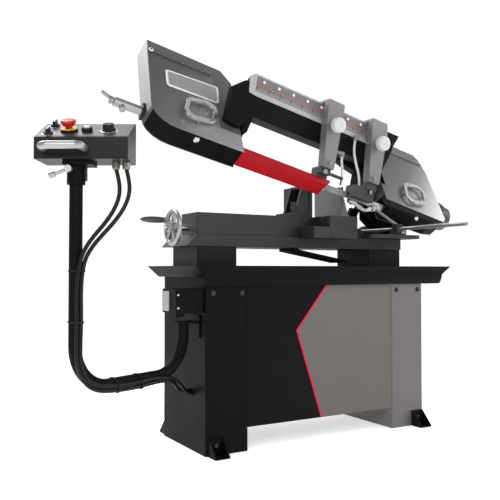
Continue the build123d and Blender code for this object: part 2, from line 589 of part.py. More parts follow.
def cord(name, pts, d, where):
    radii = cord_radii(pts)
    path = FilletPolyline(*[Vector(*p) for p in pts], radius=radii)
    start = Plane(origin=path @ 0, z_dir=path % 0)
    tube = sweep(start * Circle(d / 2), path)
    solid = tube.solid()
    print(name, "dia", d, "length", round(path.length, 1), "volume/(section*length)",
          round(solid.volume / (math.pi * d * d / 4 * path.length), 4),
          "runs", [round((Vector(*pts[i + 1]) - Vector(*pts[i])).length) for i in range(len(pts) - 1)],
          "radii", [round(r) for r in radii])
    save(name, where * solid)


LEFT_HOSE = [(-352, -16, 142), (-350, -16, 125), (-343, -15.6, 108), (-338, -15.2, 91.5), (-337.4, -15, 76)]
RIGHT_HOSE = [(-313, -16, 208), (-312, -16, 184), (-304, -15.4, 160), (-290, -13.6, 136), (-273, -11.4, 112), (-262, -9.5, 89), (-258, -8, 66)]
cord("left_coolant_hose", LEFT_HOSE, 8, HEAD)
cord("right_coolant_hose", RIGHT_HOSE, 8, HEAD)

# ---- feed cylinder: barrel on the turntable, rod to the pin on the head
th = math.radians(TILT)
pin_x = PIVOT_X + PIN_S * math.cos(th) + PIN_E * math.sin(th)
pin_z = PIVOT_Z - PIN_S * math.sin(th) + PIN_E * math.cos(th)
reach = math.hypot(pin_x - BARREL_X, pin_z - BARREL_Z)
lean = math.degrees(math.atan2(pin_x - BARREL_X, pin_z - BARREL_Z))
FEED = SHIFT * Pos(BARREL_X, BARREL_Y, BARREL_Z) * Rot(0, lean, 0)
print("feed reach", round(reach, 2), "lean", round(lean, 3))
barrel = Pos(0, 0, 14) * Cylinder(19, 78, align=(Align.CENTER, Align.CENTER, Align.MIN))
barrel += Rot(90, 0, 0) * Cylinder(11, 20) + box(-9, 9, -10, 10, 0, 18)
barrel += Rot(90, 0, 0) * Cylinder(5.0, 46)
barrel -= Pos(0, 0, 13) * Cylinder(8.05, 110, align=(Align.CENTER, Align.CENTER, Align.MIN))
save("feed_cylinder", FEED * barrel)
piston = Pos(0, 0, 37.6) * Cylinder(8.0, reach - 37.6 - 12, align=(Align.CENTER, Align.CENTER, Align.MIN))
piston += Pos(0, 0, reach) * Rot(90, 0, 0) * Cylinder(15.5, 12) - Pos(0, 0, reach) * Rot(90, 0, 0) * Cylinder(9.6, 14)
save("feed_rod", FEED * piston)

# ---- junction box, swivel bracket, pipe arm and the hanging control box
JB = rbox(-86, -0.4, 12, 110, 403, 471, 3)
JB += cyl_z(394, 404, -62, 30, 8) + cyl_z(390, 404, -62, 52, 8)
save("junction_box", SHIFT * JB)
SWX, SWY = -45.0, 56.0
PX, PY = -399.0, -96.0
swb = box(-70, -0.4, 34, 78, 372, 378) + box(-5, -0.4, 34, 78, 330, 396) + cyl_z(330, 374, SWX, SWY, 12.95)
save("swivel_bracket", SHIFT * swb)
arm_path = FilletPolyline((SWX, SWY, 371.5), (SWX, SWY, 236), (PX, PY, 236), (PX, PY, 756), radius=105)
arm = sweep(Plane(origin=arm_path @ 0, z_dir=arm_path % 0) * Circle(PIPE_R), arm_path)
arm -= cyl_z(325, 380, SWX, SWY, 13.0)
save("control_arm", SHIFT * arm)

CB = SHIFT * Plane(origin=(PX, PY, 0), x_dir=(0.8622, -0.50655, 0), z_dir=(0, 0, 1)).location


def panel(lat, depth):
    return Pos(lat, depth, 837 + (depth + 45) * 0.5) * Rot(26.565, 0, 0)


def up(r, z0, z1):
    return Pos(0, 0, z0) * Cylinder(r, z1 - z0, align=(Align.CENTER, Align.CENTER, Align.MIN))


case = prism_x([(-45, 786), (-45, 837), (65, 892), (65, 786)], -89, 133)
case = fillet(case.edges().filter_by(Axis.X), 3)
E_STOP, PUSH, SPEED, SEL_P, SEL_M = (-18, 2), (26, 0), (78, 2), (-62, -20), (-62, 40)
case += panel(*E_STOP) * up(21, -1, 6) + panel(*PUSH) * up(13, -1, 5)
case += cyl_z(770, 787, 94, 10, 9) + cyl_z(770, 787, 119, 10, 9)
case -= panel(*E_STOP) * up(8.06, -22, 10)
case -= panel(*PUSH) * up(9.06, -16, 10)
for at in (SPEED, SEL_P, SEL_M):
    case -= panel(*at) * up(4.06, -16, 4)
save("control_box", CB * case)
mushroom = up(8, -14, 12) + up(15, 11, 15) + Pos(0, 0, 15) * Cone(15, 19, 6, align=(Align.CENTER, Align.CENTER, Align.MIN)) + Pos(0, 0, 21) * Cone(19, 13, 6, align=(Align.CENTER, Align.CENTER, Align.MIN))
save("e_stop_button", CB * panel(*E_STOP) * mushroom)
save("push_button", CB * panel(*PUSH) * (up(9, -10, 9)))
save("speed_knob", CB * panel(*SPEED) * (up(4, -14, 2) + up(17, 0.6, 6) + Pos(0, 0, 6) * Cone(15, 13, 12, align=(Align.CENTER, Align.CENTER, Align.MIN)) + box(-1.2, 1.2, 10, 17.5, 4, 7)))
for name, at in (("power_selector", SEL_P), ("mode_selector", SEL_M)):
    save(name, CB * panel(*at) * (up(4, -14, 2) + up(12, 0.6, 5) + box(-3.5, 3.5, -11, 11, 4, 15)))
handle_path = FilletPolyline((-65, -45, 812), (-65, -82, 812), (30, -82, 812), (30, -45, 812), radius=18)
grab = sweep(Plane(origin=handle_path @ 0, z_dir=handle_path % 0) * Circle(9.5), handle_path)
save("box_handle", CB * grab)
bracket = (up(22, 730, 776) - up(16.0, 729, 756)) + box(-26, 44, -30, 30, 775, 786)
bracket += box(20, 25, -10, 10, 740, 776) - Pos(0, 0, 0) * cyl_y(-60, 0, -10, 760, 4.05)
bracket -= cyl_y(-60, -14, -10, 764, 4.05)
save("control_bracket", CB * bracket)
lever_from, lever_to = Vector(-10, -33, 764), Vector(-46, -33, 750)
ld = lever_to - lever_from
lever_at = Plane(origin=lever_from, z_dir=ld).location
lever = cyl_y(-40, -26, -10, 764, 8.5) + cyl_y(-26.5, -17.5, -10, 764, 4.0)
lever += lever_at * Cylinder(4, ld.length, align=(Align.CENTER, Align.CENTER, Align.MIN))
lever += lever_at * Pos(0, 0, ld.length - 4) * Cylinder(6.5, 14, align=(Align.CENTER, Align.CENTER, Align.MIN))
save("clamp_lever", CB * lever)


# ---- the two control cables: from the box glands, down the post, along the pipe, into the left leg
def hang(lat, depth, z):
    return (PX + 0.8622 * lat + 0.50655 * depth, PY - 0.50655 * lat + 0.8622 * depth, z)


def along(a, p, z):
    return (PX + 0.9189 * a + 0.3945 * p, PY + 0.3945 * a - 0.9189 * p, z)


CABLE_A = [hang(94, 10, 770), hang(104, 9, 735), hang(103, 6, 700), hang(91, 1, 668), hang(70, -5, 635),
           hang(46, -11, 606), hang(26, -15, 576), hang(13, -19, 540), hang(8, -20.3, 480), hang(9.5, -20, 405),
           hang(8, -20.3, 335), along(-9, 20, 290), along(14, 21, 250), along(54, 21, 228), along(112, 21, 222),
           along(180, 21, 220), along(245, 21, 224.5), (-115, 3, 224), (-84, 28, 210), (-64, 58, 193),
           (-42, 84, 179), (-8, 99, 172.5), (22, 101.5, 172)]
CABLE_B = [hang(119, 10, 770), hang(128, 9, 737), hang(127, 5, 703), hang(114, -1, 669), hang(92, -7, 637),
           hang(67, -10, 609), hang(42, -11, 580), hang(23, -13, 545), hang(16.5, -14.8, 485), hang(18, -14, 410),
           hang(16.5, -14.8, 340), along(-1, 22, 298), along(18, 22, 262), along(56, 22, 240), along(112, 22, 234),
           along(180, 22, 232), along(245, 22, 236), (-114.6, 2.1, 232), (-84, 26, 222), (-58, 42, 203),
           (-38, 62, 182), (-10, 79, 167.5), (22, 86, 163)]
cord("left_cable", CABLE_A, CABLE_D, SHIFT)
cord("right_cable", CABLE_B, CABLE_D, SHIFT)
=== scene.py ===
import bpy, bmesh, math, json
from mathutils import Vector, Matrix


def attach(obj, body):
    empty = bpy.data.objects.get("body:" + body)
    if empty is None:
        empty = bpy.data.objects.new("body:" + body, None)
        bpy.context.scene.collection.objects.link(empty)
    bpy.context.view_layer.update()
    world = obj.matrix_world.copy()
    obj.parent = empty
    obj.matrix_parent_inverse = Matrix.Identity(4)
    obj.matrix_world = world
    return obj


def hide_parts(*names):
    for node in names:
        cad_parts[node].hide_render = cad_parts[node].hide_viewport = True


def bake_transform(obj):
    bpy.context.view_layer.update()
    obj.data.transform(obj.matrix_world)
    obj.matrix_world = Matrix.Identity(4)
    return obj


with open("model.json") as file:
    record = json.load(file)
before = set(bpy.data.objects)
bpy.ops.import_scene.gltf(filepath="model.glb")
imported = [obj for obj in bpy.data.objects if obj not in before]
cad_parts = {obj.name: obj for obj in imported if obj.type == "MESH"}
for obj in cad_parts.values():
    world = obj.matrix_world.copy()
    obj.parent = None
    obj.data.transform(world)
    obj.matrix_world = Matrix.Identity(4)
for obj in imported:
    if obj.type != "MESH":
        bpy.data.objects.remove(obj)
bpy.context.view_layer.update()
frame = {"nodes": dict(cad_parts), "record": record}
N = frame["nodes"]
scene = bpy.context.scene

# ------------------------------------------------------------------ frame numbers (metres)
SX, SY = -0.414, -0.149
TILT = math.radians(13.2)
CT, ST = math.cos(TILT), math.sin(TILT)
WT = math.radians(36.0)
CW, SW = math.cos(WT), math.sin(WT)
WY, WE = 0.006 + 0.135 * SW, 0.035 + 0.135 * CW


def W(x, y, z):
    return Vector((x / 1000 + SX, y / 1000 + SY, z / 1000))


HEAD = Matrix.Translation(W(782, 0, 665)) @ Matrix.Rotation(TILT, 4, "Y")
WHEEL = HEAD @ Matrix(((1, 0, 0, 0), (0, SW, -CW, WY), (0, CW, SW, WE), (0, 0, 0, 1)))
BOX = Matrix(((0.8622, 0.50655, 0, -0.399 + SX), (-0.50655, 0.8622, 0, -0.096 + SY), (0, 0, 1, 0), (0, 0, 0, 1)))
PAN = math.radians(26.565)


def panel_at(lat, depth):
    return BOX @ Matrix.Translation((lat / 1000, depth / 1000, (837 + (depth + 45) * 0.5) / 1000)) @ Matrix.Rotation(PAN, 4, "X")


# ------------------------------------------------------------------ camera
cam_data = bpy.data.cameras.new("camera")
cam = bpy.data.objects.new("camera", cam_data)
scene.collection.objects.link(cam)
cam_data.sensor_width = 36.0
cam_data.lens = 681.24 / 500 * 36.0
cam_data.clip_start = 0.05
yaw, pitch = math.radians(30.43), math.radians(1.66)
cam.location = W(-866.9, -1720.3, 525)
look = Vector((math.sin(yaw) * math.cos(pitch), math.cos(yaw) * math.cos(pitch), math.sin(pitch)))
cam.rotation_euler = look.to_track_quat("-Z", "Y").to_euler()
scene.camera = cam


# ------------------------------------------------------------------ materials
def material(name, base, metallic=0.0, rough=0.4, grain=900.0, bump=0.15, bump_dist=0.0004, vary=0.12,
             rough_vary=0.12, coat=0.0, bevel=0.0008, brushed=None, edge=None, sheen=0.0, spec=0.5, dirt=0.0):
    m = bpy.data.materials.new(name)
    m.use_nodes = True
    nt = m.node_tree
    nd, lk = nt.nodes, nt.links
    b = nd["Principled BSDF"]
    b.inputs["Metallic"].default_value = metallic
    b.inputs["Coat Weight"].default_value = coat
    b.inputs["Coat Roughness"].default_value = 0.12
    b.inputs["Specular IOR Level"].default_value = spec
    if sheen:
        b.inputs["Sheen Weight"].default_value = sheen
    tc = nd.new("ShaderNodeTexCoord")
    mp = nd.new("ShaderNodeMapping")
    if brushed is not None:
        mp.inputs["Scale"].default_value = brushed
    lk.new(tc.outputs["Object"], mp.inputs["Vector"])
    fine = nd.new("ShaderNodeTexNoise")
    fine.inputs["Scale"].default_value = grain
    fine.inputs["Detail"].default_value = 3.0
    lk.new(mp.outputs["Vector"], fine.inputs["Vector"])
    cloud = nd.new("ShaderNodeTexNoise")
    cloud.inputs["Scale"].default_value = 9.0
    cloud.inputs["Detail"].default_value = 6.0
    cloud.inputs["Roughness"].default_value = 0.65
    lk.new(tc.outputs["Object"], cloud.inputs["Vector"])
    # colour: slow variation between a slightly darker and slightly lighter tone
    mix = nd.new("ShaderNodeMix")
    mix.data_type = "RGBA"
    mix.inputs["A"].default_value = [max(0.0, c * (1 - vary)) for c in base] + [1]
    mix.inputs["B"].default_value = [min(1.0, c * (1 + vary)) for c in base] + [1]
    lk.new(cloud.outputs["Fac"], mix.inputs["Factor"])
    colour = mix.outputs["Result"]
    if edge is not None:
        geo = nd.new("ShaderNodeNewGeometry")
        ramp = nd.new("ShaderNodeMapRange")
        ramp.inputs["From Min"].default_value = 0.56
        ramp.inputs["From Max"].default_value = 0.66
        ramp.inputs["To Max"].default_value = edge[3] if len(edge) > 3 else 0.5
        lk.new(geo.outputs["Pointiness"], ramp.inputs["Value"])
        m2 = nd.new("ShaderNodeMix")
        m2.data_type = "RGBA"
        m2.inputs["B"].default_value = [edge[0], edge[1], edge[2], 1]
        lk.new(ramp.outputs["Result"], m2.inputs["Factor"])
        lk.new(colour, m2.inputs["A"])
        colour = m2.outputs["Result"]
    lk.new(colour, b.inputs["Base Color"])
    rr = nd.new("ShaderNodeMapRange")
    rr.inputs["To Min"].default_value = max(0.03, rough - rough_vary)
    rr.inputs["To Max"].default_value = min(1.0, rough + rough_vary)
    lk.new(cloud.outputs["Fac"], rr.inputs["Value"])
    lk.new(rr.outputs["Result"], b.inputs["Roughness"])
    bp = nd.new("ShaderNodeBump")
    bp.inputs["Strength"].default_value = bump
    bp.inputs["Distance"].default_value = bump_dist
    lk.new(fine.outputs["Fac"], bp.inputs["Height"])
    if bevel:
        bv = nd.new("ShaderNodeBevel")
        bv.samples = 4
        bv.inputs["Radius"].default_value = bevel
        lk.new(bv.outputs["Normal"], bp.inputs["Normal"])
    lk.new(bp.outputs["Normal"], b.inputs["Normal"])
    return m


M = {}
M["black_steel"] = material("black_steel", (0.0050, 0.0050, 0.0054), rough=0.48, grain=1400, bump=0.25, bevel=0.0012, spec=0.06, vary=0.3)
M["black_gloss"] = material("black_gloss", (0.0055, 0.0055, 0.0058), rough=0.40, grain=900, bump=0.22, bevel=0.0014, spec=0.06, vary=0.3)
M["black_cast"] = material("black_cast", (0.015, 0.015, 0.016), rough=0.42, grain=420, bump=0.45, bump_dist=0.0006, bevel=0.0018, spec=0.42, vary=0.3)
M["grey_paint"] = material("grey_paint", (0.128, 0.121, 0.117), rough=0.42, grain=1400, bump=0.2, vary=0.05, bevel=0.0012)
M["head_grey"] = material("head_grey", (0.15, 0.15, 0.152), metallic=0.45, rough=0.42, grain=900, bump=0.3, vary=0.16, bevel=0.0015, spec=0.4)
M["arm_grey"] = material("arm_grey", (0.188, 0.186, 0.186), metallic=0.25, rough=0.42, grain=700, bump=0.3, vary=0.08, bevel=0.0020)
M["bright_steel"] = material("bright_steel", (0.62, 0.62, 0.62), metallic=1.0, rough=0.24, grain=500, bump=0.12, brushed=(1, 40, 40), bevel=0.0006)
M["cast_machined"] = material("cast_machined", (0.20, 0.195, 0.193), metallic=0.8, rough=0.42, grain=400, bump=0.3, bevel=0.0008)
M["zinc"] = material("zinc", (0.60, 0.60, 0.585), metallic=1.0, rough=0.30, grain=800, bump=0.18, bevel=0.0006, vary=0.15)
M["aluminium"] = material("aluminium", (0.74, 0.74, 0.75), metallic=1.0, rough=0.32, grain=700, bump=0.25, bevel=0.0015)
M["chrome"] = material("chrome", (0.86, 0.86, 0.87), metallic=1.0, rough=0.10, rough_vary=0.05, grain=900, bump=0.03, bevel=0.0008, vary=0.04)
M["red_paint"] = material("red_paint", (0.38, 0.005, 0.011), rough=0.36, grain=1200, bump=0.12, coat=0.10, bevel=0.0010, vary=0.08, spec=0.25)
M["band_steel"] = material("band_steel", (0.42, 0.42, 0.43), metallic=1.0, rough=0.30, grain=900, bump=0.15, bevel=0)
M["scale_silver"] = material("scale_silver", (0.40, 0.40, 0.40), metallic=0.4, rough=0.36, grain=900, bump=0.1, bevel=0.0005)
M["red_plastic"] = material("red_plastic", (0.50, 0.010, 0.012), rough=0.34, rough_vary=0.06, grain=700, bump=0.05, coat=0.12, bevel=0.0012, spec=0.3)
M["black_plastic"] = material("black_plastic", (0.012, 0.012, 0.013), rough=0.48, grain=1500, bump=0.35, bevel=0.0012, spec=0.25)
M["white_plastic"] = material("white_plastic", (0.56, 0.56, 0.55), rough=0.35, rough_vary=0.06, grain=800, bump=0.06, bevel=0.0015, vary=0.03)
M["cable_black"] = material("cable_black", (0.0065, 0.0065, 0.007), rough=0.38, grain=1500, bump=0.2, bevel=0, spec=0.20)
M["hose"] = material("hose", (0.52, 0.52, 0.50), rough=0.35, grain=900, bump=0.08, bevel=0, vary=0.04)
M["motor_grey"] = material("motor_grey", (0.045, 0.045, 0.048), rough=0.42, grain=600, bump=0.35, bevel=0.0012)
M["yellow"] = material("yellow", (0.72, 0.50, 0.03), rough=0.35, grain=900, bump=0.08, bevel=0.0008)
M["plate_white"] = material("plate_white", (0.80, 0.80, 0.80), metallic=0.1, rough=0.30, grain=900, bump=0.05, bevel=0.0006, vary=0.03)
M["plate_mid"] = material("plate_mid", (0.26, 0.26, 0.265), metallic=0.2, rough=0.35, grain=900, bump=0.05, bevel=0.0004)
M["plate_panel"] = material("plate_panel", (0.060, 0.060, 0.062), metallic=0.2, rough=0.38, grain=900, bump=0.06, bevel=0.0004)
M["plate_dark"] = material("plate_dark", (0.10, 0.10, 0.105), metallic=0.2, rough=0.35, grain=900, bump=0.05, bevel=0.0004)
M["ink"] = material("ink", (0.03, 0.03, 0.032), rough=0.5, grain=900, bump=0.05, bevel=0)
M["plate_face"] = material("plate_face", (0.40, 0.40, 0.405), metallic=0.7, rough=0.34, grain=900, bump=0.12, brushed=(1, 30, 30), bevel=0.0003, vary=0.25)
M["scale_face"] = material("scale_face", (0.21, 0.205, 0.20), metallic=0.3, rough=0.42, grain=900, bump=0.1, bevel=0.0003, vary=0.15)
M["scale_band"] = material("scale_band", (0.14, 0.135, 0.135), metallic=0.2, rough=0.45, grain=900, bump=0.1, bevel=0.0003, vary=0.15)
M["plate_field"] = material("plate_field", (0.028, 0.028, 0.030), rough=0.55, grain=900, bump=0.15, bevel=0.0003, vary=0.2)
M["bolt_dark"] = material("bolt_dark", (0.035, 0.035, 0.037), metallic=0.6, rough=0.34, grain=700, bump=0.2, bevel=0.0006, vary=0.2)
M["gland"] = material("gland", (0.26, 0.25, 0.22), metallic=0.9, rough=0.34, grain=900, bump=0.12, bevel=0.0004, vary=0.2)
M["ink_red"] = material("ink_red", (0.45, 0.06, 0.06), rough=0.5, grain=900, bump=0.05, bevel=0)


def two_tone(m, pts, half):
    """left of a bent line black, right of it grey, with a red line between; pts are (x, z) top to bottom"""
    nt = m.node_tree
    nd, lk = nt.nodes, nt.links
    b = nd["Principled BSDF"]
    old = b.inputs["Base Color"].links[0].from_socket
    tc = nd.new("ShaderNodeTexCoord")
    sp = nd.new("ShaderNodeSeparateXYZ")
    lk.new(tc.outputs["Object"], sp.inputs[0])

    def math_node(op, a, c):
        n = nd.new("ShaderNodeMath")
        n.operation = op
        for i, v in enumerate((a, c)):
            if isinstance(v, float):
                n.inputs[i].default_value = v
            else:
                lk.new(v, n.inputs[i])
        return n.outputs[0]
    dists = []
    for (x0, z0), (x1, z1) in zip(pts[:-1], pts[1:]):
        k = (x1 - x0) / (z1 - z0)
        ln = math.hypot(1, k)
        # signed distance to the right of the line x = x0 + k (z - z0)
        zz = math_node("MULTIPLY", sp.outputs[2], -k / ln)
        xx = math_node("MULTIPLY", sp.outputs[0], 1.0 / ln)
        s = math_node("ADD", xx, zz)
        dists.append(math_node("SUBTRACT", s, (x0 - k * z0) / ln))
    d = math_node("MAXIMUM", dists[0], dists[1]) if False else math_node("MINIMUM", dists[0], dists[1])
    grey = nd.new("ShaderNodeMath")
    grey.operation = "GREATER_THAN"
    lk.new(d, grey.inputs[0])
    grey.inputs[1].default_value = 0.0
    mixa = nd.new("ShaderNodeMix")
    mixa.data_type = "RGBA"
    mixa.inputs["A"].default_value = (0.0040, 0.0040, 0.0043, 1)
    lk.new(grey.outputs[0], mixa.inputs["Factor"])
    lk.new(old, mixa.inputs["B"])
    ab = math_node("ABSOLUTE", d, 0.0)
    red = nd.new("ShaderNodeMath")
    red.operation = "LESS_THAN"
    lk.new(ab, red.inputs[0])
    red.inputs[1].default_value = half
    mixr = nd.new("ShaderNodeMix")
    mixr.data_type = "RGBA"
    mixr.inputs["B"].default_value = (0.55, 0.03, 0.06, 1)
    lk.new(red.outputs[0], mixr.inputs["Factor"])
    lk.new(mixa.outputs["Result"], mixr.inputs["A"])
    lk.new(mixr.outputs["Result"], b.inputs["Base Color"])


def graded(m, direction, lo, hi, stops, plane=None):
    """tone runs along a direction on the object; past a plane (point, normal) the part is bare bright bar"""
    nt = m.node_tree
    nd, lk = nt.nodes, nt.links
    b = nd["Principled BSDF"]
    old = b.inputs["Base Color"].links[0].from_socket
    tc = nd.new("ShaderNodeTexCoord")
    dp = nd.new("ShaderNodeVectorMath")
    dp.operation = "DOT_PRODUCT"
    dp.inputs[1].default_value = direction
    lk.new(tc.outputs["Object"], dp.inputs[0])
    mr = nd.new("ShaderNodeMapRange")
    mr.inputs["From Min"].default_value = lo
    mr.inputs["From Max"].default_value = hi
    lk.new(dp.outputs["Value"], mr.inputs["Value"])
    cr = nd.new("ShaderNodeValToRGB")
    while len(cr.color_ramp.elements) < len(stops):
        cr.color_ramp.elements.new(0.5)
    for e, (t, v) in zip(cr.color_ramp.elements, stops):
        e.position = t
        e.color = (v, v, v, 1)
    lk.new(mr.outputs["Result"], cr.inputs["Fac"])
    mul = nd.new("ShaderNodeMix")
    mul.data_type = "RGBA"
    mul.blend_type = "MULTIPLY"
    mul.inputs["Factor"].default_value = 1.0
    lk.new(old, mul.inputs["A"])
    lk.new(cr.outputs["Color"], mul.inputs["B"])
    out = mul.outputs["Result"]
    if plane is not None:
        pt, nrm = plane
        dn = nd.new("ShaderNodeVectorMath")
        dn.operation = "DOT_PRODUCT"
        dn.inputs[1].default_value = nrm
        lk.new(tc.outputs["Object"], dn.inputs[0])
        gt = nd.new("ShaderNodeMath")
        gt.operation = "GREATER_THAN"
        gt.inputs[1].default_value = Vector(nrm).dot(pt)
        lk.new(dn.outputs["Value"], gt.inputs[0])
        sel = nd.new("ShaderNodeMix")
        sel.data_type = "RGBA"
        sel.inputs["B"].default_value = (0.80, 0.80, 0.81, 1)
        lk.new(gt.outputs[0], sel.inputs["Factor"])
        lk.new(out, sel.inputs["A"])
        out = sel.outputs["Result"]
        base_metal = b.inputs["Metallic"].default_value
        mm = nd.new("ShaderNodeMapRange")
        mm.inputs["To Min"].default_value = base_metal
        mm.inputs["To Max"].default_value = 1.0
        lk.new(gt.outputs[0], mm.inputs["Value"])
        lk.new(mm.outputs["Result"], b.inputs["Metallic"])
        rough_src = b.inputs["Roughness"].links[0].from_socket
        rs = nd.new("ShaderNodeMix")
        rs.inputs["B"].default_value = 0.2
        lk.new(gt.outputs[0], rs.inputs["Factor"])
        lk.new(rough_src, rs.inputs["A"])
        lk.new(rs.outputs["Result"], b.inputs["Roughness"])
    lk.new(out, b.inputs["Base Color"])


slot_of = {p["node"]: p["material_slot"] for p in frame["record"]["subparts"]}
M["panel_paint"] = material("panel_paint", (0.140, 0.130, 0.126), rough=0.42, grain=1400, bump=0.2, vary=0.05, bevel=0.0012, spec=0.09)


def dress(node, mat):
    o = N[node]
    o.data.materials.clear()
    o.data.materials.append(M[mat])
    return o


M["cover_left"] = material("cover_left", (0.15, 0.15, 0.152), metallic=0.45, rough=0.42, grain=900, bump=0.3, vary=0.16, bevel=0.0012, spec=0.4)
M["cover_right"] = material("cover_right", (0.15, 0.15, 0.152), metallic=0.45, rough=0.42, grain=900, bump=0.3, vary=0.16, bevel=0.0012, spec=0.4)
wheel_rot = WHEEL.to_3x3()
wx, wy, wn = (wheel_rot @ Vector(v) for v in ((1, 0, 0), (0, 1, 0), (0, 0, 1)))
slant = (wx - 0.6 * wy).normalized()


def along_slant(x, y):
    return slant.dot(WHEEL @ Vector((x / 1000, y / 1000, 0.030)))


# painted reflection: the left cover's colour is multiplied from 0.55 at the upper left up to 2.6 times at the lower
# right, standing in for the reflection running across it
graded(M["cover_left"], tuple(slant), along_slant(-992, 213), along_slant(-710, -152), [(0.0, 0.55), (0.35, 0.75), (0.58, 1.25), (0.80, 2.2), (1.0, 2.6)],
       plane=(WHEEL @ Vector((-0.842, -0.046, 0.0372)), tuple(wn)))
# painted reflection: the right cover's colour is multiplied from 0.7 at the top up to 5.4 times at the lower right,
# standing in for the reflection running across it
graded(M["cover_right"], tuple(slant), along_slant(0, 203), along_slant(135, -125), [(0.0, 0.7), (0.35, 1.05), (0.55, 1.8), (0.75, 3.4), (1.0, 5.4)],
       plane=(WHEEL @ Vector((0.0, -0.046, 0.0372)), tuple(wn)))
# painted light: the housing's left end, past x = -991 mm, is 2.5 times lighter and the rest 0.75 times, standing in for
# light falling on that end face
M["housing_left"] = material("housing_left", (0.15, 0.15, 0.152), metallic=0.35, rough=0.42, grain=900, bump=0.3, vary=0.16, bevel=0.0012, spec=0.4)
graded(M["housing_left"], tuple(wx), wx.dot(WHEEL @ Vector((-0.9925, 0, 0))), wx.dot(WHEEL @ Vector((-0.9885, 0, 0))), [(0.0, 2.5), (0.42, 2.5), (0.58, 0.75), (1.0, 0.75)])
M["box_paint"] = material("box_paint", (0.0085, 0.0085, 0.009), rough=0.42, grain=1200, bump=0.25, bevel=0.0012, spec=0.16, vary=0.25)
bx = BOX.to_3x3() @ Vector((1, 0, 0))
BOX_UP = BOX.to_3x3() @ Vector((0, 0, 1))
# painted highlight: past lateral 132 mm the box's black paint is made nine times lighter, so the end face and a band
# beside it carry a painted highlight along that edge
graded(M["box_paint"], tuple(bx), bx.dot(BOX @ Vector((0.1310, 0, 0))), bx.dot(BOX @ Vector((0.1335, 0, 0))), [(0.0, 1.0), (0.45, 1.0), (0.62, 9.0), (1.0, 9.0)],
       plane=(BOX_UP * (min(BOX_UP.dot(v.co) for v in N["control_box"].data.vertices) + 0.0008), tuple(-BOX_UP)))
M["riser_black"] = material("riser_black", (0.0110, 0.0110, 0.0115), rough=0.42, grain=900, bump=0.22, bevel=0.0014, spec=0.12, vary=0.3)
M["dull_alu"] = material("dull_alu", (0.40, 0.40, 0.405), metallic=0.85, rough=0.40, grain=700, bump=0.25, bevel=0.0015)
M["grip_grey"] = material("grip_grey", (0.10, 0.10, 0.102), metallic=0.5, rough=0.42, grain=700, bump=0.2, bevel=0.0012)
M["plate_soft"] = material("plate_soft", (0.36, 0.36, 0.365), metallic=0.1, rough=0.40, grain=900, bump=0.05, bevel=0.0006, vary=0.05)
M["clamp_metal"] = material("clamp_metal", (0.035, 0.035, 0.037), metallic=0.6, rough=0.34, grain=700, bump=0.2, bevel=0.0006, vary=0.2)
graded(M["clamp_metal"], (0.0, 0.0, 1.0), 0.0, 1.0, [(0.0, 1.0), (1.0, 1.0)], plane=(Vector((0, 0, 0.668)), (0.0, 0.0, 1.0)))
M["cylinder_grey"] = material("cylinder_grey", (0.36, 0.36, 0.365), metallic=0.75, rough=0.30, grain=700, bump=0.15, bevel=0.0008, vary=0.15)
graded(M["cylinder_grey"], tuple(wx), wx.dot(WHEEL @ Vector((-1.002, 0, 0))), wx.dot(WHEEL @ Vector((-0.999, 0, 0))), [(0.0, 1.0), (0.4, 1.0), (0.6, 0.04), (1.0, 0.04)])
M["dull_zinc"] = material("dull_zinc", (0.32, 0.32, 0.315), metallic=0.9, rough=0.34, grain=800, bump=0.18, bevel=0.0006, vary=0.15)
for side, y in (("left", -0.0223), ("right", -0.0264)):
    M["block_" + side] = material("block_" + side, (0.040, 0.040, 0.042), metallic=0.4, rough=0.40, grain=600, bump=0.3, bevel=0.0010, vary=0.25)
    graded(M["block_" + side], (0.0, 0.0, 1.0), 0.0, 1.0, [(0.0, 1.0), (1.0, 1.0)], plane=(HEAD @ Vector((0, y, 0)), tuple(HEAD.to_3x3() @ Vector((0, -1, 0)))))
DRESS = {"centre_panels": "panel_paint", "left_cover": "cover_left", "right_cover": "cover_right", "saw_bow": "black_steel", "left_wheel_housing": "housing_left", "control_box": "box_paint", "box_handle": "dull_alu", "vise_handwheel": "dull_alu", "clamp_lever": "dull_alu",
         "chip_tray": "black_steel", "work_stop_rod": "zinc", "fixed_jaw": "cast_machined", "stand_bolts": "bolt_dark",
         "work_stop_clamp": "clamp_metal", "lower_blade_guards": "black_steel", "tension_cylinder": "cylinder_grey",
         "tension_screw": "dull_zinc", "bed_risers": "riser_black", "handwheel_grip": "grip_grey", "left_guide_block": "block_left", "right_guide_block": "block_right"}
for node in N:
    if node in DRESS:
        dress(node, DRESS[node])
    elif node in slot_of and slot_of[node] in M:
        dress(node, slot_of[node])


# ------------------------------------------------------------------ mesh helpers
def mesh_object(name, bm, mat, body, smooth=True, bevel=None, subsurf=0, angle=35):
    me = bpy.data.meshes.new(name)
    bmesh.ops.recalc_face_normals(bm, faces=bm.faces)
    bm.to_mesh(me)
    bm.free()
    o = bpy.data.objects.new(name, me)
    scene.collection.objects.link(o)
    o.data.materials.append(M[mat])
    if bevel:
        mod = o.modifiers.new("bevel", "BEVEL")
        mod.width = bevel
        mod.segments = 3
        mod.limit_method = "ANGLE"
        mod.angle_limit = math.radians(30)
    if subsurf:
        mod = o.modifiers.new("sub", "SUBSURF")
        mod.levels = subsurf
        mod.render_levels = subsurf
    if smooth:
        for p in me.polygons:
            p.use_smooth = True
        mod = o.modifiers.new("wn", "WEIGHTED_NORMAL")
        mod.keep_sharp = True
        for e in me.edges:
            pass
        me.set_sharp_from_angle(angle=math.radians(angle))
    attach(o, body)
    return o


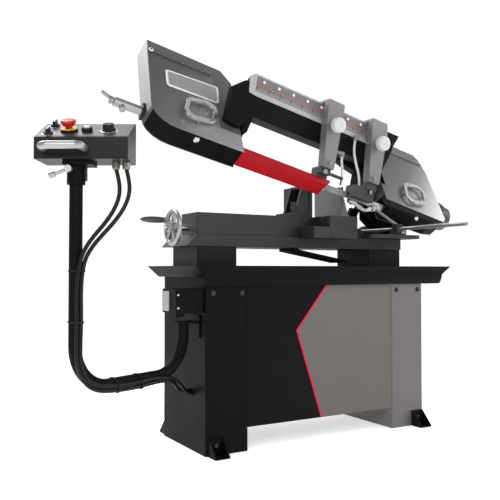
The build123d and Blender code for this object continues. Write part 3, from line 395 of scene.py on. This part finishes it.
def prism(bm, pts, z0, z1, mat4):
    """closed outline (x, y in mm) from z0 to z1 (mm), placed by a matrix in metres"""
    lo = [bm.verts.new(mat4 @ Vector((x / 1000, y / 1000, z0 / 1000))) for x, y in pts]
    hi = [bm.verts.new(mat4 @ Vector((x / 1000, y / 1000, z1 / 1000))) for x, y in pts]
    bm.faces.new(lo[::-1])
    bm.faces.new(hi)
    n = len(pts)
    for i in range(n):
        bm.faces.new((lo[i], lo[(i + 1) % n], hi[(i + 1) % n], hi[i]))


def lathe(bm, profile, mat4, seg=40):
    """profile of (radius, height) in mm, spun about local Z"""
    rings = []
    for r, z in profile:
        if r < 1e-6:
            rings.append([bm.verts.new(mat4 @ Vector((0, 0, z / 1000)))])
        else:
            rings.append([bm.verts.new(mat4 @ Vector((r / 1000 * math.cos(2 * math.pi * i / seg), r / 1000 * math.sin(2 * math.pi * i / seg), z / 1000))) for i in range(seg)])
    for a, b in zip(rings[:-1], rings[1:]):
        for i in range(seg):
            j = (i + 1) % seg
            if len(a) == 1 and len(b) == 1:
                continue
            if len(a) == 1:
                bm.faces.new((a[0], b[j], b[i]))
            elif len(b) == 1:
                bm.faces.new((a[i], a[j], b[0]))
            else:
                bm.faces.new((a[i], a[j], b[j], b[i]))


def rounded(pts, r, seg=5):
    """outline with its corners rounded (mm)"""
    out = []
    n = len(pts)
    for i in range(n):
        p0, p1, p2 = Vector(pts[i - 1]), Vector(pts[i]), Vector(pts[(i + 1) % n])
        a, b = (p0 - p1), (p2 - p1)
        k = min(r, a.length * 0.45, b.length * 0.45)
        a, b = p1 + a.normalized() * k, p1 + b.normalized() * k
        for j in range(seg + 1):
            t = j / seg
            out.append(tuple((1 - t) ** 2 * a + 2 * t * (1 - t) * p1 + t * t * b))
    return out


def sweep(bm, path, radius, seg=16, closed=False, ends=True):
    """round bar along points (metres)"""
    n = len(path)
    rings = []
    up = Vector((0, 0, 1))
    prev = None
    for i, p in enumerate(path):
        if closed:
            t = (path[(i + 1) % n] - path[i - 1]).normalized()
        else:
            t = (path[min(i + 1, n - 1)] - path[max(i - 1, 0)]).normalized()
        if prev is None:
            x = t.cross(up)
            if x.length < 1e-3:
                x = t.cross(Vector((1, 0, 0)))
            x.normalize()
        else:
            x = (prev - t * prev.dot(t)).normalized()
        prev = x
        y = t.cross(x)
        r = radius[i] if isinstance(radius, (list, tuple)) else radius
        rings.append([bm.verts.new(p + (x * math.cos(2 * math.pi * k / seg) + y * math.sin(2 * math.pi * k / seg)) * r) for k in range(seg)])
    m = n if closed else n - 1
    for i in range(m):
        a, b = rings[i], rings[(i + 1) % n]
        for k in range(seg):
            j = (k + 1) % seg
            bm.faces.new((a[k], a[j], b[j], b[k]))
    if not closed and ends:
        bm.faces.new(rings[0][::-1])
        bm.faces.new(rings[-1])


def smooth_path(pts, r, seg=6):
    """open path with rounded corners (metres)"""
    out = [pts[0]]
    for i in range(1, len(pts) - 1):
        p0, p1, p2 = pts[i - 1], pts[i], pts[i + 1]
        a, b = (p0 - p1), (p2 - p1)
        k = min(r, a.length * 0.45, b.length * 0.45)
        a, b = p1 + a.normalized() * k, p1 + b.normalized() * k
        for j in range(seg + 1):
            t = j / seg
            out.append((1 - t) ** 2 * a + 2 * t * (1 - t) * p1 + t * t * b)
    out.append(pts[-1])
    return out


# ------------------------------------------------------------------ cords
def hang(lat, depth, z):
    return W(-399 + 0.8622 * lat + 0.50655 * depth, -96 - 0.50655 * lat + 0.8622 * depth, z)


def along(a, p, z):
    return W(-399 + 0.9189 * a + 0.3945 * p, -96 + 0.3945 * a - 0.9189 * p, z)


def head(s, y, e):
    return HEAD @ Vector((s / 1000, y / 1000, e / 1000))


CABLE_A = [hang(94, 10, 770), hang(104, 9, 735), hang(103, 6, 700), hang(91, 1, 668), hang(70, -5, 635),
           hang(46, -11, 606), hang(26, -15, 576), hang(13, -19, 540), hang(8, -20.3, 480), hang(9.5, -20, 405),
           hang(8, -20.3, 335), along(-9, 20, 290), along(14, 21, 250), along(54, 21, 228), along(112, 21, 222),
           along(180, 21, 220), along(245, 21, 224.5), W(-115, 3, 224), W(-84, 28, 210), W(-64, 58, 193),
           W(-42, 84, 179), W(-8, 99, 172.5), W(22, 101.5, 172)]
CABLE_B = [hang(119, 10, 770), hang(128, 9, 737), hang(127, 5, 703), hang(114, -1, 669), hang(92, -7, 637),
           hang(67, -10, 609), hang(42, -11, 580), hang(23, -13, 545), hang(16.5, -14.8, 485), hang(18, -14, 410),
           hang(16.5, -14.8, 340), along(-1, 22, 298), along(18, 22, 262), along(56, 22, 240), along(112, 22, 234),
           along(180, 22, 232), along(245, 22, 236), W(-114.6, 2.1, 232), W(-84, 26, 222), W(-58, 42, 203),
           W(-38, 62, 182), W(-10, 79, 167.5), W(22, 86, 163)]
LEFT_HOSE = [head(*p) for p in ((-352, -16, 142), (-350, -16, 125), (-343, -15.6, 108), (-338, -15.2, 91.5), (-337.4, -15, 76))]
RIGHT_HOSE = [head(*p) for p in ((-313, -16, 208), (-312, -16, 184), (-304, -15.4, 160), (-290, -13.6, 136), (-273, -11.4, 112), (-262, -9.5, 89), (-258, -8, 66))]


def spline_curve(name, pts, d, bevel=True):
    cu = bpy.data.curves.new(name, "CURVE")
    cu.dimensions = "3D"
    cu.resolution_u = 10
    if bevel:
        cu.bevel_depth = d / 2
        cu.bevel_resolution = 6
        cu.use_fill_caps = True
    sp = cu.splines.new("NURBS")
    sp.points.add(len(pts) - 1)
    for q, p in zip(sp.points, pts):
        q.co = (p[0], p[1], p[2], 1)
    sp.order_u = 3
    sp.use_endpoint_u = True
    o = bpy.data.objects.new(name, cu)
    scene.collection.objects.link(o)
    return o


def centreline(pts):
    o = spline_curve("line_probe", pts, 0, bevel=False)
    bpy.context.view_layer.update()
    dg = bpy.context.evaluated_depsgraph_get()
    me = bpy.data.meshes.new_from_object(o.evaluated_get(dg), depsgraph=dg)
    out = [v.co.copy() for v in me.vertices]
    bpy.data.objects.remove(o)
    bpy.data.meshes.remove(me)
    return out


def swinging_cable(name, node, pts, d):
    """the cable runs along the pipe and past the last tie into the leg; here it is one static tube in world space, and
    the CAD cable is hidden
    """
    path = centreline(pts)
    o = spline_curve(name + "_src", pts, d)
    bpy.context.view_layer.update()
    dg = bpy.context.evaluated_depsgraph_get()
    me = bpy.data.meshes.new_from_object(o.evaluated_get(dg), depsgraph=dg)
    bpy.data.objects.remove(o)
    mo = bpy.data.objects.new(name, me)
    scene.collection.objects.link(mo)
    me.materials.clear()
    me.materials.append(M["cable_black"])
    for p in me.polygons:
        p.use_smooth = True
    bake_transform(mo)
    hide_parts(node)
    return mo, path


cable_a, path_a = swinging_cable("left_cable_run", "left_cable", CABLE_A, 0.010)
cable_b, path_b = swinging_cable("right_cable_run", "right_cable", CABLE_B, 0.010)


def hose(name, node, pts, d, body):
    path = centreline(pts)
    o = spline_curve(name, pts, d)
    o.data.materials.append(M["hose"])
    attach(o, body)
    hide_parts(node)
    return o


hose("left_hose_run", "left_coolant_hose", LEFT_HOSE, 0.008, "left_arm")
hose("right_hose_run", "right_coolant_hose", RIGHT_HOSE, 0.008, "right_arm")

# ------------------------------------------------------------------ stand paint
two_tone(M["panel_paint"], [(0.0053, 0.4690), (-0.1014, 0.3404), (-0.0089, 0.0650)], 0.0034)

SCALE = HEAD @ Matrix(((1, 0, 0, 0), (0, 0, -1, 0), (0, 1, 0, 0), (0, 0, 0, 1)))


def screw_head(name, mat4, r, h, mat, body, kind="pan"):
    """a cap screw, hex bolt or domed nut, local Z outwards; the cap screw has a socket"""
    bm = bmesh.new()
    if kind == "hex":
        pts = [(r * math.cos(math.pi / 3 * i), r * math.sin(math.pi / 3 * i)) for i in range(6)]
        prism(bm, pts, 0.6, h * 0.86, mat4)
        lathe(bm, [(r * 1.25, 0), (r * 1.25, 0.9), (0, 0.9)], mat4, 28)
        lathe(bm, [(r * 0.86, h * 0.8), (r * 0.80, h), (0, h)], mat4, 28)
    elif kind == "socket":
        lathe(bm, [(r, 0), (r, h * 0.85), (r * 0.88, h), (r * 0.52, h), (r * 0.5, h * 0.35), (0, h * 0.35)], mat4, 28)
    else:
        lathe(bm, [(r, 0), (r, h * 0.35), (r * 0.8, h * 0.75), (r * 0.42, h), (0, h * 1.04)], mat4, 28)
    return mesh_object(name, bm, mat, body, angle=50)


def at(base, x, y, z, spin=0.0):
    return base @ Matrix.Translation((x / 1000, y / 1000, z / 1000)) @ Matrix.Rotation(math.radians(spin), 4, "Z")


def facing(base, x, y, z, axis):
    """a frame whose local Z looks along axis of base"""
    q = Vector(axis).to_track_quat("Z", "Y").to_matrix().to_4x4()
    return base @ Matrix.Translation((x / 1000, y / 1000, z / 1000)) @ q


# ------------------------------------------------------------------ covers: name plate, ribs, screws
def plate(name, pts, r, z0, z1, mat4, mat, body, bevel=0.0006):
    bm = bmesh.new()
    prism(bm, rounded(pts, r), z0, z1, mat4)
    return mesh_object(name, bm, mat, body, bevel=bevel)


plate("name_plate", [(-939, 96), (-939, 21), (-764, 29), (-757, 113)], 12, 30.3, 33.8, WHEEL, "plate_white", "left_door", bevel=0.0012)
plate("name_plate_groove", [(-932, 89), (-932, 28), (-771, 35), (-765, 105)], 8, 33.7, 33.95, WHEEL, "plate_mid", "left_door", bevel=None)
plate("name_plate_field", [(-929, 86), (-929, 31), (-774, 38), (-768, 102)], 7, 33.8, 34.4, WHEEL, "plate_face", "left_door", bevel=0.0003)

for name, x0, x1, yy, body in (("left", -988, -778, 163, "left_door"), ("right", -50, 128, 153, "right_door")):
    bm = bmesh.new()
    prism(bm, [(x0, yy - 3.5), (x1, yy - 3.5), (x1, yy + 2.5), (x0, yy + 2.5)], 30.3, 34.5, WHEEL)
    mesh_object(name + "_cover_rib", bm, "plate_dark", body, bevel=0.0012)
screw_head("cover_screw", at(WHEEL, -981, 163, 33), 8.5, 5, "zinc", "left_door")
screw_head("left_guard_bolt", facing(WHEEL, -850, -152, 14, (0, -1, 0)), 10, 8, "zinc", "head", "pan")
screw_head("right_guard_bolt", facing(WHEEL, -8, -152, 20, (0, -1, 0)), 9, 8, "zinc", "head", "pan")

# ------------------------------------------------------------------ scale plate
plate("scale_band", [(-694, 262), (-694, 285), (-212, 285), (-212, 262)], 2, -0.4, 0.0, SCALE, "scale_band", "head", bevel=0.0002)
plate("scale_field", [(-694, 238), (-694, 260.5), (-212, 260.5), (-212, 238)], 2, -0.4, -0.05, SCALE, "scale_face", "head", bevel=0.0002)
plate("scale_line", [(-694, 259.6), (-694, 262.2), (-212, 262.2), (-212, 259.6)], 0.5, -0.4, 0.12, SCALE, "ink_red", "head", bevel=None)
bm = bmesh.new()
for i in range(9):
    lathe(bm, [(4.6, 0.0), (4.6, 0.25), (0, 0.25)], at(SCALE, -668 + 54 * i, 274, 0), 20)
mesh_object("scale_dots", bm, "plate_white", "head")
bm = bmesh.new()
for i in range(58):
    x = -690 + 8.2 * i
    ln = 13 if i % 5 == 0 else 8
    prism(bm, [(x, 258.6 - ln), (x + (2.6 if i % 5 else 4.0), 258.6 - ln), (x + (2.6 if i % 5 else 4.0), 258.6), (x, 258.6)], -0.06, 0.06, SCALE)
mesh_object("scale_ticks", bm, "ink", "head", smooth=False)

# ------------------------------------------------------------------ arms
for side, s, e, body in (("left", -416, 216, "left_knob"), ("right", -232, 218, "right_knob")):
    bm = bmesh.new()
    lathe(bm, [(0, 15), (5, 15), (5, 39), (9, 39.2), (13, 41), (15, 45), (15, 46), (21, 47), (23.4, 49), (24, 53), (24, 63), (23, 66.5), (20, 68.6), (15, 69.2), (9.5, 69.2), (9, 68.2), (0, 68.0)], facing(HEAD, s, 0, e, (0, -1, 0)), 56)
    o = mesh_object(side + "_knob_disc", bm, "white_plastic", body, angle=40)
    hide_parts(side + "_arm_knob")
for side, s, e, body in (("left", -403, 99, "left_arm"), ("right", -222, 104, "right_arm")):
    screw_head(side + "_arm_bolt", facing(HEAD, s, -32, e, (0, -1, 0)), 8, 7, "dull_zinc", body, "hex")
    screw_head(side + "_arm_bolt_b", facing(HEAD, s - 18, -32, e + 2, (0, -1, 0)), 5, 5, "dull_zinc", body, "socket")

# ------------------------------------------------------------------ control box
screw_head("e_stop_base", panel_at(-18, 2) @ Matrix.Translation((0, 0, 0.006)), 20, 1.6, "yellow", "control", "socket")
bm = bmesh.new()
lathe(bm, [(0, -14), (8, -14), (8, 12.6), (12.4, 12.8), (14.5, 15.2), (17.3, 19.2), (18.5, 22.8), (18.5, 24.8), (17.3, 26.9), (13.8, 28.0), (0, 28.4)], panel_at(-18, 2), 56)
o = mesh_object("e_stop_mushroom", bm, "red_plastic", "e_stop", angle=50)
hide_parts("e_stop_button")
bm = bmesh.new()
lathe(bm, [(9, -10), (9, 12.2), (8.4, 13), (0, 13.1)], panel_at(26, 0), 40)
o = mesh_object("push_cap", bm, "white_plastic", "push", angle=50)
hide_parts("push_button")
bm = bmesh.new()
lathe(bm, [(13.4, 4.6), (13.4, 8.6), (12.2, 10.2), (9.3, 10.2), (9.3, 4.6)], panel_at(26, 0), 40)
mesh_object("push_bezel", bm, "black_plastic", "control", angle=40)
# speed knob: skirted, fluted
bm = bmesh.new()
seg = 72
rings = []
for z, r0, amp in ((0.8, 17, 0), (4.5, 17, 0), (6, 15.2, 0), (6.3, 14.6, 0.9), (17, 13.2, 0.9), (18.4, 12, 0.3)):
    rings.append([bm.verts.new(panel_at(78, 2) @ Vector(((r0 - (amp if (i // 2) % 2 else 0)) / 1000 * math.cos(2 * math.pi * i / seg), (r0 - (amp if (i // 2) % 2 else 0)) / 1000 * math.sin(2 * math.pi * i / seg), z / 1000))) for i in range(seg)])
bm.faces.new(rings[0][::-1])
bm.faces.new(rings[-1])
for a, b in zip(rings[:-1], rings[1:]):
    for i in range(seg):
        bm.faces.new((a[i], a[(i + 1) % seg], b[(i + 1) % seg], b[i]))
lathe(bm, [(4, -14), (4, 0.8)], panel_at(78, 2), 24)
o = mesh_object("speed_knob_cap", bm, "black_plastic", "speed", angle=30)
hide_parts("speed_knob")
plate("speed_pointer", [(-0.9, 4), (0.9, 4), (0.9, 12), (-0.9, 12)], 0.5, 18.2, 18.8, panel_at(78, 2), "plate_white", "speed", bevel=None)
bm = bmesh.new()
lathe(bm, [(20.5, 0), (20.5, 1.2), (19.4, 2.0), (17.4, 2.0), (17.4, 0)], panel_at(78, 2), 48)
mesh_object("speed_dial_ring", bm, "zinc", "control", angle=40)
for k, a in enumerate((200, 340)):
    screw_head("speed_screw_%d" % k, panel_at(78 + 23 * math.cos(math.radians(a)), 2 + 20 * math.sin(math.radians(a))), 3.6, 2.4, "white_plastic", "control")
for nm, p, body in (("power", (-62, -20), "power"), ("mode", (-62, 40), "mode")):
    plate(nm + "_pointer", [(-1.4, -10), (1.4, -10), (1.4, 10), (-1.4, 10)], 1, 14.8, 15.5, panel_at(*p), "plate_white", body, bevel=None)
    bm = bmesh.new()
    lathe(bm, [(15.5, 0), (15.5, 0.8), (14.6, 1.2), (12.6, 1.2), (12.6, 0)], panel_at(*p), 40)
    mesh_object(nm + "_dial_ring", bm, "zinc", "control", angle=40)
plate("panel_label", [(-86, -44), (130, -44), (130, 62), (-86, 62)], 6, 0.0, 0.35, panel_at(0, 2) @ Matrix.Translation((0, 0, 0)), "plate_panel", "control", bevel=None)
for lat in (94, 119):
    bm = bmesh.new()
    base = BOX @ Matrix.Translation((lat / 1000, 0.010, 0.786)) @ Matrix.Rotation(math.pi, 4, "X")
    pts = [(10.5 * math.cos(math.pi / 3 * i), 10.5 * math.sin(math.pi / 3 * i)) for i in range(6)]
    prism(bm, pts, 0.0, 5.5, base)
    prism(bm, [(x * 0.95, y * 0.95) for x, y in pts], 8, 13.5, base)
    lathe(bm, [(9.2, 0), (9.2, 16), (7.5, 18), (4.3, 18.4), (4.3, 16)], base, 28)
    mesh_object("gland_%d" % lat, bm, "gland", "control", bevel=0.0004, angle=30)


# cable ties drawn tight round the pipe and both cables
def hull(points):
    pts = sorted(set(points))

    def half(seq):
        out = []
        for p in seq:
            while len(out) > 1 and (out[-1][0] - out[-2][0]) * (p[1] - out[-2][1]) - (out[-1][1] - out[-2][1]) * (p[0] - out[-2][0]) <= 0:
                out.pop()
            out.append(p)
        return out
    a, b = half(pts), half(pts[::-1])
    return a[:-1] + b[:-1]


def tie(name, circles, place, width=4.6, thick=1.5):
    """circles are (u, v, radius) in mm in the section plane; place(u, v, w) gives the point in metres"""
    def ring(extra):
        return hull([(round(u + (r + extra) * math.cos(math.pi * k / 20), 4), round(v + (r + extra) * math.sin(math.pi * k / 20), 4)) for u, v, r in circles for k in range(40)])
    inner = ring(0.35)
    cx = sum(p[0] for p in inner) / len(inner)
    cy = sum(p[1] for p in inner) / len(inner)
    outer = []
    n = len(inner)
    for i in range(n):
        p, q, t = Vector(inner[i - 1]), Vector(inner[i]), Vector(inner[(i + 1) % n])
        d = ((q - p).normalized() + (t - q).normalized()).normalized()
        outer.append((q.x + d.y * thick, q.y - d.x * thick))
    bm = bmesh.new()
    rows = []
    for pts, w in ((inner, -width / 2), (outer, -width / 2), (outer, width / 2), (inner, width / 2)):
        rows.append([bm.verts.new(place(u, v, w)) for u, v in pts])
    for a in range(4):
        p, q = rows[a], rows[(a + 1) % 4]
        for i in range(n):
            bm.faces.new((p[i], p[(i + 1) % n], q[(i + 1) % n], q[i]))
    return mesh_object(name, bm, "cable_black", "control", angle=50)


def on_post(z):
    return lambda u, v, w: hang(u, v, z + w)


def on_run(a):
    return lambda u, v, w: along(a + w, u, v)


tie("tie_post_high", [(0, 0, 16), (11.2, -19.4, 5.2), (20.0, -13.8, 5.2)], on_post(522))
tie("tie_post_low", [(0, 0, 16), (9.2, -20.0, 5.2), (17.7, -14.1, 5.2)], on_post(400))
tie("tie_run_a", [(0, 236, 16), (21, 222.4, 5.2), (22, 234.6, 5.2)], on_run(118))
tie("tie_run_b", [(0, 236, 16), (21, 220.8, 5.2), (22, 232.8, 5.2)], on_run(200))

# ------------------------------------------------------------------ stand hardware
for i, (z) in enumerate((418, 455)):
    screw_head("junction_screw_%d" % i, facing(Matrix.Identity(4), (-80) + SX * 1000, 12 + SY * 1000, z, (0, -1, 0)), 3.4, 2.4, "zinc", "base")
plate("junction_plate", [(0, 0), (0, 56), (46, 56), (46, 0)], 3, 0.0, 3.0, Matrix.Translation(W(-86.2, 104, 408)) @ Matrix(((0, 0, -1, 0), (-1, 0, 0, 0), (0, 1, 0, 0), (0, 0, 0, 1))), "plate_soft", "base")

# ------------------------------------------------------------------ floor, light
bm = bmesh.new()
for x, y in ((-60, -60), (60, -60), (60, 60), (-60, 60)):
    bm.verts.new((x, y, -0.0005))
bm.faces.new(bm.verts)
me = bpy.data.meshes.new("floor")
bm.to_mesh(me)
bm.free()
floor = bpy.data.objects.new("floor", me)
scene.collection.objects.link(floor)
fm = bpy.data.materials.new("floor")
fm.use_nodes = True
fm.node_tree.nodes["Principled BSDF"].inputs["Base Color"].default_value = (0.92, 0.92, 0.92, 1)
fm.node_tree.nodes["Principled BSDF"].inputs["Roughness"].default_value = 0.9
fm.node_tree.nodes["Principled BSDF"].inputs["Specular IOR Level"].default_value = 0.1
fm.node_tree.nodes["Principled BSDF"].inputs["Emission Color"].default_value = (1, 1, 1, 1)
fm.node_tree.nodes["Principled BSDF"].inputs["Emission Strength"].default_value = 0.60
floor.data.materials.append(fm)

world = bpy.data.worlds.new("studio")
scene.world = world
world.use_nodes = True
wt = world.node_tree
bg = wt.nodes["Background"]
# a lit studio: bright cyclorama behind the object, dimmer towards the front
wtc = wt.nodes.new("ShaderNodeTexCoord")
dot = wt.nodes.new("ShaderNodeVectorMath")
dot.operation = "DOT_PRODUCT"
dot.inputs[1].default_value = (0.42, 0.90, 0.12)
wt.links.new(wtc.outputs["Generated"], dot.inputs[0])
wr = wt.nodes.new("ShaderNodeMapRange")
wr.interpolation_type = "SMOOTHSTEP"
wr.inputs["From Min"].default_value = 0.15
wr.inputs["From Max"].default_value = 0.80
wr.inputs["To Min"].default_value = 0.22
wr.inputs["To Max"].default_value = 1.06
wt.links.new(dot.outputs["Value"], wr.inputs["Value"])
wt.links.new(wr.outputs["Result"], bg.inputs["Strength"])
bg.inputs["Color"].default_value = (1, 1, 1, 1)
scene.view_settings.view_transform = "Standard"
scene.view_settings.look = "None"


def area(name, loc, target, size, power, size_y=None):
    l = bpy.data.lights.new(name, "AREA")
    l.energy = power
    l.size = size
    if size_y:
        l.shape = "RECTANGLE"
        l.size_y = size_y
    o = bpy.data.objects.new(name, l)
    scene.collection.objects.link(o)
    o.location = loc
    d = Vector(target) - Vector(loc)
    o.rotation_euler = d.to_track_quat("-Z", "Y").to_euler()
    return o


area("key", (-2.3, -2.3, 2.0), (0, 0, 0.7), 1.4, 40)
area("right", (2.2, -1.3, 2.1), (0.2, 0, 0.9), 0.9, 34, 1.6)
area("top", (-1.1, 1.1, 2.6), (0, 0, 0.6), 1.4, 34)
area("front", (0.6, -3.2, 1.4), (0.1, 0, 0.5), 1.6, 16)
